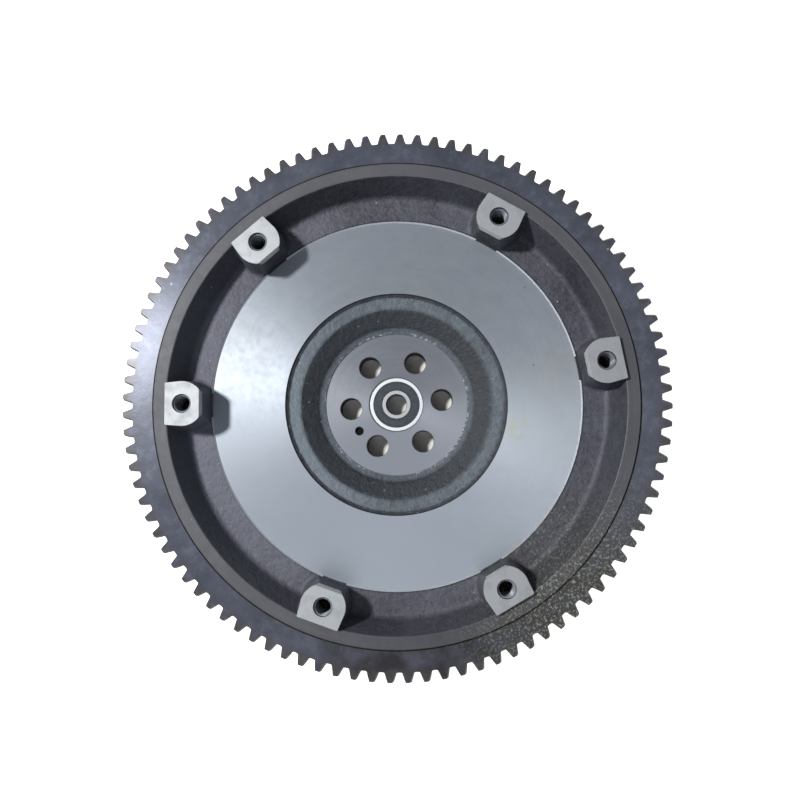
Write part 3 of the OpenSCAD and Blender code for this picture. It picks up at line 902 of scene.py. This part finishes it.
class FLYWHEEL_OT_casting(Operator):
    """Build the cast-iron body with its bosses, holes and threads"""
    bl_idname = "flywheel.casting"
    bl_label = "Casting"

    def execute(self, context):
        sizes, colours = settings("casting"), settings("finish")
        bm = combined(casting_blank(sizes), [("UNION", bosses(sizes)), ("DIFFERENCE", hole_cutters(sizes))])
        bmesh.ops.remove_doubles(bm, verts=bm.verts, dist=2e-6)
        finish_casting(bm, sizes)
        thread = cover_thread(sizes)
        for face in thread.faces:
            face.material_index = HUB
        for bolt in COVER_BOLTS:
            copied_in(bm, thread, Matrix.Translation((bolt.x, bolt.y, 0.0)))
        thread.free()
        stain, hub, rim = tuple(colours.stain), tuple(colours.hub), tuple(colours.rim)
        dull = scaled(hub, 0.7)
        materials = [
            cast_skin(sizes.friction_out),
            circled_metal("ground_friction_face", tuple(colours.ground), 1500.0, 0.49, 0.67, 0.55,
                          0.20, 0.26, stain),
            circled_metal("turned_hub_face", hub, 2200.0, 0.49, 0.6, 0.25, 0.4, 0.35, dull),
            milled_top(),
            circled_metal("turned_rim", rim, 1300.0, 0.60, 0.3, 0.3, 0.7, 0.6, scaled(rim, 0.6)),
            drilled_wall(),
            recess_skin(sizes.hub_face, sizes.friction_in),
            # Painted highlight: the step edge is coloured near white to stand in for its glint.
            circled_metal("step_edge_painted_glint", tuple(colours.step_edge), 900.0, 0.55, 0.0, 0.1, 0.2, 0.2, stain),
        ]
        piece("cast_iron_body", bm, "flywheel", ["flywheel_casting"], materials)
        return {"FINISHED"}


# ---------------------------------------------------------------- ring gear

def half_tooth(sizes, r):
    """Half of the angle that a tooth takes up at a radius."""
    pitch = sizes.module * sizes.teeth / 2
    pressure, backlash = math.radians(20.0), 0.15 * MM
    roll = math.acos(pitch * math.cos(pressure) / r)
    growth = sizes.tip_growth * (r - pitch + sizes.dedendum) / (sizes.addendum + sizes.dedendum) / r
    return ((math.pi * sizes.module / 2 - backlash) / 2 / pitch
            + math.tan(pressure) - pressure - math.tan(roll) + roll + growth)


def tooth_outline(sizes):
    """One tooth's sector of the ring as (r, angle) points, anticlockwise from the inner seat."""
    step = math.tau / sizes.teeth / 2
    seat = settings("casting").seat
    pitch = sizes.module * sizes.teeth / 2
    root, tip = pitch - sizes.dedendum, pitch + sizes.addendum
    foot = half_tooth(sizes, root)
    gap = step - foot
    right = [(root, -step), (root, -step + 0.45 * gap), (root + 0.12 * MM, -foot - 0.22 * gap),
             (root + 0.55 * MM, -half_tooth(sizes, root + 0.55 * MM) - 0.05 * gap)]
    right += [(r, -half_tooth(sizes, r)) for r in (root + 1.9 * MM, root + 3.6 * MM, tip)]
    left = [(r, -angle) for r, angle in reversed(right)]
    return [(seat, step), (seat, 0.0), (seat, -step)] + right + left


def tooth_sector(sizes):
    """One tooth with its sector of the ring, open at both sides."""
    low, high = GEAR_LOW.z, GEAR_HIGH.z
    outline = tooth_outline(sizes)
    step = math.tau / sizes.teeth / 2
    bm = bmesh.new()
    verts = [bm.verts.new((r * math.cos(a), r * math.sin(a), low)) for r, a in outline]
    floor = bm.faces.new(verts)
    grown = bmesh.ops.extrude_face_region(bm, geom=[floor], use_keep_orig=True)["geom"]
    bmesh.ops.translate(bm, vec=(0, 0, high - low),
                        verts=[item for item in grown if isinstance(item, bmesh.types.BMVert)])
    pitch = sizes.module * sizes.teeth / 2
    root = pitch - sizes.dedendum

    def middle_of(edge):
        """Radius, angle and height of an edge's middle."""
        middle = (edge.verts[0].co + edge.verts[1].co) / 2
        return math.hypot(middle.x, middle.y), math.atan2(middle.y, middle.x), middle.z

    def is_level(edge):
        """True for an edge that lies level."""
        return abs(edge.verts[0].co.z - edge.verts[1].co.z) < 1e-7

    sides = [face for face in bm.faces
             if all(abs(abs(math.atan2(v.co.y, v.co.x)) - step) < 1e-5 for v in face.verts)]
    bmesh.ops.delete(bm, geom=sides, context="FACES_ONLY")
    seat_edges = [e for e in bm.edges if is_level(e) and middle_of(e)[0] < root - 5.0 * MM
                  and abs(middle_of(e)[1]) < step * 0.9]
    bmesh.ops.bevel(bm, geom=seat_edges, offset=0.6 * MM, offset_type="OFFSET", segments=1,
                    profile=0.5, affect="EDGES", material=-1)
    entry = [e for e in bm.edges if is_level(e) and middle_of(e)[2] > high - 1e-6
             and middle_of(e)[0] > root + 0.3 * MM and middle_of(e)[1] > step * 0.18
             and middle_of(e)[1] < step * 0.75]
    bmesh.ops.bevel(bm, geom=entry, offset=sizes.entry_width, offset_type="OFFSET", segments=1,
                    profile=0.5, affect="EDGES", material=-1, clamp_overlap=False)
    for vert in bm.verts:
        below = high - vert.co.z
        reach = math.hypot(vert.co.x, vert.co.y)
        if 0.3 * MM < below < 3.0 * MM and reach > root - 1.0 * MM:
            vert.co.z = high - below * sizes.entry_depth / sizes.entry_width
    sharp = [e for e in bm.edges if len(e.link_faces) == 2 and middle_of(e)[0] > root + 0.3 * MM
             and e.calc_face_angle(0.0) > math.radians(50)]
    bmesh.ops.bevel(bm, geom=sharp, offset=sizes.edge, offset_type="OFFSET", segments=2,
                    profile=0.5, affect="EDGES", material=-1)
    bm.normal_update()
    return bm


def wear_teeth(bm):
    """Dents the teeth a little, and more at the dusty place, within the gear's own size."""
    unworn, fade, battered_reach = 147.5 * MM, 3.0 * MM, 45.0 * MM
    for vert in bm.verts:
        reach = math.hypot(vert.co.x, vert.co.y)
        if reach > unworn:
            away = (vert.co - Vector(DUSTY_PLACE)).length
            battered = 1.0 + 3.5 * max(0.0, 1.0 - away / battered_reach)
            wear_and_painted_light = 0.09 * MM * battered * min(1.0, (reach - unworn) / fade)
            vert.co += wear_and_painted_light * noise.noise_vector(vert.co * 260.0)
        over = math.hypot(vert.co.x, vert.co.y) / GEAR_HIGH.x
        if over > 1.0:
            vert.co.x, vert.co.y = vert.co.x / over, vert.co.y / over
        vert.co.z = min(GEAR_HIGH.z, max(GEAR_LOW.z, vert.co.z))


class FLYWHEEL_OT_ring_gear(Operator):
    """Build the starter ring gear with its bevelled teeth"""
    bl_idname = "flywheel.ring_gear"
    bl_label = "Ring gear"

    def execute(self, context):
        sizes = settings("gear")
        one = tooth_sector(sizes)
        bm = bmesh.new()
        for tooth in range(sizes.teeth):
            copied_in(bm, one, Matrix.Rotation(sizes.first_tooth + math.tau * tooth / sizes.teeth, 4, "Z"))
        one.free()
        tidy_mesh(bm, 2e-6)
        wear_teeth(bm)
        bm.normal_update()
        root = sizes.module * sizes.teeth / 2 - sizes.dedendum
        for face in bm.faces:
            middle = face.calc_center_median()
            seat_groove = middle.length < GEAR_HIGH.x - 12.0 * MM and 0.2 < face.normal.z < 0.95
            flank = math.hypot(middle.x, middle.y) > root - 0.2 * MM and abs(face.normal.z) < 0.9
            face.material_index = int(flank or seat_groove)
        piece("starter_ring_gear", bm, "flywheel", ["ring_gear"],
              [gear_steel(), tooth_flank()], 32.0)
        return {"FINISHED"}


# ---------------------------------------------------------------- pilot bearing

def mirrored(points):
    """The mirror image of an outline below the bearing's middle plane, in reverse order."""
    return [(r, -z) for r, z in reversed(points)]


def bead_groove(sizes, half):
    """Upper height, lower height and radius of the groove that a seal snaps into."""
    return half - 0.6 * MM, half - 1.1 * MM, sizes.outer_face + 0.2 * MM


def raceway(centre_r, radius, land, outer):
    """The raceway's arc from the lower edge of a land to the upper."""
    reach = math.degrees(math.acos(abs(land - centre_r) / radius))
    start, end = (-reach, reach) if outer else (180 + reach, 180 - reach)
    return arc((centre_r, 0.0), radius, start, end, 14)


def bearing_piece(name, points, body, node, materials, steps=160):
    """A spun piece on the bearing's middle plane; a second material covers all but its side faces."""
    bm = spun(points, steps, about=(0.0, 0.0, BEARING_MIDDLE))
    bm.normal_update()
    for face in bm.faces:
        face.material_index = int(len(materials) > 1 and abs(face.normal.z) < 0.93)
    return piece(name, bm, body, [node], materials, 34.0)


class FLYWHEEL_OT_bearing_rings(Operator):
    """Build the pilot bearing's outer and inner ring"""
    bl_idname = "flywheel.bearing_rings"
    bl_label = "Bearing rings"

    def execute(self, context):
        sizes, colours = settings("bearing"), settings("finish")
        # Painted shade: the rings' faces other than their side faces take a dark copy of the steel; the
        # near-white side faces are painted reflection.
        edge = bearing_steel("bearing_edge_steel", tuple(colours.edge_steel))
        half, outer_r = (BEARING_HIGH.z - BEARING_LOW.z) / 2, BEARING_HIGH.x
        bore = MOUNTS["pilot_bore"]["dims"]["r_mm"] * MM
        groove = 1.04 * BALL_RADIUS
        back = half - sizes.seal_depth - sizes.seal_thickness
        bead_top, bead_low, bead = bead_groove(sizes, half)
        ease = 0.5 * MM
        upper = arc((outer_r - ease, half - ease), ease, 0, 90, 5)
        upper += [(sizes.outer_face + 0.1 * MM, half), (sizes.outer_face, half - 0.1 * MM),
                  (sizes.outer_face, bead_top), (bead, bead_top), (bead, bead_low),
                  (sizes.outer_face, bead_low), (sizes.outer_face, back), (sizes.outer_land, back)]
        track = BALL_TRACK + BALL_RADIUS + sizes.race_gap - groove
        groove_arc = list(reversed(raceway(track, groove, sizes.outer_land, True)))
        outline = upper + groove_arc + mirrored(upper)
        bearing_piece("bearing_ring_outer", outline, "flywheel", "bearing_outer_ring",
                      [bearing_steel("bearing_ring_steel", tuple(colours.bright)), edge])
        step = back - 0.15 * MM
        upper = [(sizes.inner_land, step), (sizes.inner_face, step)]
        upper += arc((sizes.inner_face - 0.3 * MM, half - 0.3 * MM), 0.3 * MM, 0, 90, 4)
        upper += arc((bore + ease, half - ease), ease, 90, 180, 5)
        track = BALL_TRACK - BALL_RADIUS - sizes.race_gap + groove
        groove_arc = raceway(track, groove, sizes.inner_land, False)
        outline = upper + mirrored(upper) + groove_arc
        bearing_piece("bearing_ring_inner", outline, "inner_race", "bearing_inner_ring",
                      [bearing_steel("bearing_race_steel", tuple(colours.race)), edge])
        return {"FINISHED"}


class FLYWHEEL_OT_balls(Operator):
    """Build the bearing's balls"""
    bl_idname = "flywheel.balls"
    bl_label = "Balls"

    def execute(self, context):
        # Painted reflection: the balls take the near-white colour of the rings' side faces.
        steel = bearing_steel("ball_steel", tuple(settings("finish").bright))
        for number in range(1, BALLS + 1):
            low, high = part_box(f"bearing_ball_{number}")
            bm = bmesh.new()
            bmesh.ops.create_icosphere(bm, subdivisions=4, radius=BALL_RADIUS,
                                       matrix=Matrix.Translation((low + high) / 2))
            piece(f"ball_{number}", bm, f"ball_{number}", [f"bearing_ball_{number}"],
                  [steel], 60.0)
        return {"FINISHED"}


def cage_ribbon(sizes):
    """One pressed half of the cage: flat between the balls and domed over each."""
    steps = BALLS * 40
    across = 7
    dome = BALL_RADIUS + 0.10 * MM
    bm = bmesh.new()
    verts = [bm.verts.new((sizes.cage_in + (sizes.cage_out - sizes.cage_in) * k / (across - 1), 0.0, 0.0))
             for k in range(across)]
    edges = [bm.edges.new(pair) for pair in zip(verts, verts[1:])]
    bmesh.ops.spin(bm, geom=verts + edges, cent=CENTRE, axis=AXIS, angle=math.tau,
                   steps=steps, use_merge=True, use_duplicate=False)
    bmesh.ops.remove_doubles(bm, verts=bm.verts, dist=1e-7)
    for vert in bm.verts:
        turn = math.atan2(vert.co.y, vert.co.x)
        nearest = round(turn / (math.tau / BALLS)) * math.tau / BALLS
        ball = Vector((BALL_TRACK * math.cos(nearest), BALL_TRACK * math.sin(nearest), 0.0))
        away = (vert.co - ball).length
        vert.co.z = math.sqrt(max(0.0, dome ** 2 - away ** 2))
    bmesh.ops.recalc_face_normals(bm, faces=bm.faces)
    if sum(face.normal.z for face in bm.faces) < 0:
        bmesh.ops.reverse_faces(bm, faces=bm.faces)
    bmesh.ops.solidify(bm, geom=bm.faces, thickness=-sizes.cage_sheet)
    for vert in bm.verts:
        vert.co.z = max(0.0, vert.co.z)
    bmesh.ops.recalc_face_normals(bm, faces=bm.faces)
    return bm


def cage_rivet(sizes):
    """One rivet about its own axis, with two domed heads."""
    shank, head, sheet = 0.4 * MM, 0.75 * MM, sizes.cage_sheet
    dome = [(0.0, sheet + 0.3 * MM), (0.35 * MM, sheet + 0.27 * MM), (0.62 * MM, sheet + 0.17 * MM),
            (head, sheet), (shank, sheet)]
    return spun(dome + mirrored(dome), 20, closed=False)


class FLYWHEEL_OT_cage(Operator):
    """Build the ball cage's two pressed halves and its rivets"""
    bl_idname = "flywheel.cage"
    bl_label = "Ball cage"

    def execute(self, context):
        sizes, sheet = settings("bearing"), cage_sheet()
        middle = Matrix.Translation((0.0, 0.0, BEARING_MIDDLE))
        for name, node, turn in (("cage_half_front", "cage_front_half", Matrix.Identity(4)),
                                 ("cage_half_rear", "cage_rear_half", Matrix.Scale(-1, 4, AXIS))):
            half, bm = cage_ribbon(sizes), bmesh.new()
            copied_in(bm, half, middle @ turn)
            half.free()
            bmesh.ops.recalc_face_normals(bm, faces=bm.faces)
            piece(name, bm, "cage", [node], [sheet], 40.0)
        one, rivets = cage_rivet(sizes), bmesh.new()
        for number in range(BALLS):
            turn = Matrix.Rotation((number + 0.5) * math.tau / BALLS, 4, "Z")
            copied_in(rivets, one, middle @ turn @ Matrix.Translation((BALL_TRACK, 0.0, 0.0)))
        one.free()
        piece("cage_rivet_set", rivets, "cage", ["cage_rivets"], [sheet], 40.0)
        return {"FINISHED"}


class FLYWHEEL_OT_seals(Operator):
    """Build both rubber seals and the steel washers inside them"""
    bl_idname = "flywheel.seals"
    bl_label = "Seals"

    def execute(self, context):
        sizes, rubber, sheet = settings("bearing"), seal_rubber(), cage_sheet()
        half = (BEARING_HIGH.z - BEARING_LOW.z) / 2
        face = half - sizes.seal_depth
        back = face - sizes.seal_thickness
        core_in, core_out, core = 9.8 * MM, 13.2 * MM, 0.4 * MM
        lip, rim = sizes.inner_face + sizes.lip_gap, sizes.outer_face
        bead_top, bead_low, bead = bead_groove(sizes, half)
        outline = [(lip, back), (core_in, back), (core_in, back + core), (core_out, back + core),
                   (core_out, back), (rim, back), (rim, bead_low), (bead, bead_low), (bead, bead_top),
                   (rim, bead_top), (rim, face - 0.08 * MM), (rim - 0.08 * MM, face)]
        for groove in (12.8 * MM, 9.5 * MM):
            outline += [(groove + 0.22 * MM, face)]
            outline += arc((groove, face), 0.18 * MM, 0, -180, 6)
            outline += [(groove - 0.22 * MM, face)]
        outline += [(lip + 0.15 * MM, face), (lip, face - 0.15 * MM)]
        washer = [(core_in, back), (core_out, back), (core_out, back + core), (core_in, back + core)]
        for side, up in (("front", 1.0), ("rear", -1.0)):
            bearing_piece(f"seal_{side}", [(r, up * z) for r, z in outline], "flywheel",
                          f"{side}_seal_rubber", [rubber])
            bearing_piece(f"seal_washer_{side}", [(r, up * z) for r, z in washer], "flywheel",
                          f"{side}_seal_core", [sheet], 96)
        return {"FINISHED"}


# ---------------------------------------------------------------- stage

def area_light(name, place, aim, size, power, colour):
    """A round area light that looks at a point."""
    lamp = bpy.data.lights.new(name, "AREA")
    lamp.shape, lamp.size, lamp.energy, lamp.color = "DISK", size, power, colour
    thing = bpy.data.objects.new(name, lamp)
    thing.location = place
    thing.rotation_mode = "QUATERNION"
    thing.rotation_quaternion = (Vector(aim) - Vector(place)).to_track_quat("-Z", "Y")
    bpy.context.scene.collection.objects.link(thing)


def overhead(azimuth, slant):
    """A lamp's place in a direction, at a slant off the vertical."""
    distance = 1.3
    return distance * Vector((math.sin(slant) * math.cos(azimuth), math.sin(slant) * math.sin(azimuth),
                              math.cos(slant)))


def pale_floor():
    """Matt off-white acrylic floor with a faint mottle, lit from below and clear from underneath."""
    made = Nodes("pale_floor")
    cloud = made.noise(9.0, 4.0)
    glow = made.ramp(made.radius(), CASTING_HIGH.x - 0.015, CASTING_HIGH.x + 0.005, 0.0, 1.0)
    under = made.product(made.ramp(made.radius(), 0.046, 0.056, 0.0, 0.45),
                      made.ramp(made.radius(), CASTING_HIGH.x - 0.020, CASTING_HIGH.x - 0.030))
    glow = made.math("MAXIMUM", glow, under)
    made.set(Base_Color=made.mix(cloud, (0.90, 0.89, 0.86), (0.94, 0.93, 0.90)), Roughness=0.85,
             Emission_Color=(1.0, 1.0, 1.0, 1.0), Emission_Strength=glow)
    clear = made.add("BsdfTransparent").outputs["BSDF"]
    behind = made.add("NewGeometry").outputs["Backfacing"]
    both = made.add("MixShader", {0: behind, 1: made.shader.outputs["BSDF"], 2: clear})
    made.feed(made.output.inputs["Surface"], both.outputs[0])
    return made.material


def studio_world(ambient):
    """Weak bluish light from all sides, in front of a pale wall."""
    world = bpy.data.worlds.new("studio")
    world.use_nodes = True
    tree = world.node_tree
    tree.nodes.clear()
    output = tree.nodes.new("ShaderNodeOutputWorld")
    mixed, path = tree.nodes.new("ShaderNodeMixShader"), tree.nodes.new("ShaderNodeLightPath")
    tree.links.new(path.outputs["Is Camera Ray"], mixed.inputs[0])
    bluish, pale = (0.86, 0.91, 1.0, 1.0), (0.96, 0.97, 1.0, 1.0)
    for slot, colour, strength in ((1, bluish, ambient), (2, pale, 0.9)):
        light = tree.nodes.new("ShaderNodeBackground")
        light.inputs["Color"].default_value = colour
        light.inputs["Strength"].default_value = strength
        tree.links.new(light.outputs[0], mixed.inputs[slot])
    tree.links.new(mixed.outputs[0], output.inputs["Surface"])
    return world


class FLYWHEEL_OT_stage(Operator):
    """Make the floor, the lights and the camera"""
    bl_idname = "flywheel.stage"
    bl_label = "Stage"

    def execute(self, context):
        scene, look = context.scene, settings("stage")
        bm = bmesh.new()
        bmesh.ops.create_grid(bm, x_segments=8, y_segments=8, size=6.0)
        mesh = bpy.data.meshes.new("floor")
        bm.to_mesh(mesh)
        bm.free()
        mesh.materials.append(pale_floor())
        floor = bpy.data.objects.new("floor", mesh)
        floor.location.z = -0.2 * MM
        scene.collection.objects.link(floor)
        cool, warm, middle = (0.93, 0.96, 1.0), (1.0, 0.99, 0.97), (0.0, 0.0, 0.02)
        key, fill = overhead(look.key_azimuth, look.key_slant), overhead(look.fill_azimuth, look.fill_slant)
        area_light("key_light", key, middle, 0.14, look.key_power, warm)
        area_light("fill_light", fill, middle, 0.9, look.fill_power, cool)
        area_light("ceiling_light", (0.0, 0.1, 1.6), CENTRE, 1.5, look.sky_power, cool)
        scene.world = studio_world(look.ambient)
        scene.view_settings.view_transform = "Standard"
        lens = bpy.data.cameras.new("camera")
        lens.sensor_width, lens.lens = 36.0, look.lens
        camera = bpy.data.objects.new("camera", lens)
        ahead = (Vector(look.target) - Vector(look.camera)).normalized()
        camera.rotation_mode = "QUATERNION"
        upright = Vector((0.0, 1.0, 0.0)).cross(-ahead).normalized()
        level = Matrix((upright, (-ahead).cross(upright), -ahead)).transposed().to_quaternion()
        camera.rotation_quaternion = level @ Matrix.Rotation(-look.roll, 3, "Z").to_quaternion()
        camera.location = look.camera
        scene.collection.objects.link(camera)
        scene.camera = camera
        return {"FINISHED"}


class FLYWHEEL_PT_panel(Panel):
    """Lists the flywheel's operators"""
    bl_idname = "FLYWHEEL_PT_panel"
    bl_label = "Flywheel"
    bl_space_type = "VIEW_3D"
    bl_region_type = "UI"
    bl_category = "Flywheel"

    def draw(self, context):
        for operator in OPERATORS:
            self.layout.operator(operator.bl_idname)


GROUPS = {
    "casting": FLYWHEEL_PG_casting,
    "gear": FLYWHEEL_PG_gear,
    "bearing": FLYWHEEL_PG_bearing,
    "finish": FLYWHEEL_PG_finish,
    "stage": FLYWHEEL_PG_stage,
}
OPERATORS = (
    FLYWHEEL_OT_casting,
    FLYWHEEL_OT_ring_gear,
    FLYWHEEL_OT_bearing_rings,
    FLYWHEEL_OT_balls,
    FLYWHEEL_OT_cage,
    FLYWHEEL_OT_seals,
    FLYWHEEL_OT_stage,
)
CLASSES = (*GROUPS.values(), *OPERATORS, FLYWHEEL_PT_panel)


def register():
    """Registers the classes and the scene's settings."""
    for item in CLASSES:
        bpy.utils.register_class(item)
    for name, group in GROUPS.items():
        setattr(bpy.types.Scene, "flywheel_" + name, PointerProperty(type=group))


def unregister():
    """Removes the settings and the classes."""
    for name in GROUPS:
        delattr(bpy.types.Scene, "flywheel_" + name)
    for item in reversed(CLASSES):
        bpy.utils.unregister_class(item)


def main():
    """Builds every piece and the stage."""
    register()
    for operator in OPERATORS:
        getattr(bpy.ops.flywheel, operator.bl_idname.split(".")[1])()


if __name__ == "__main__":
    main()
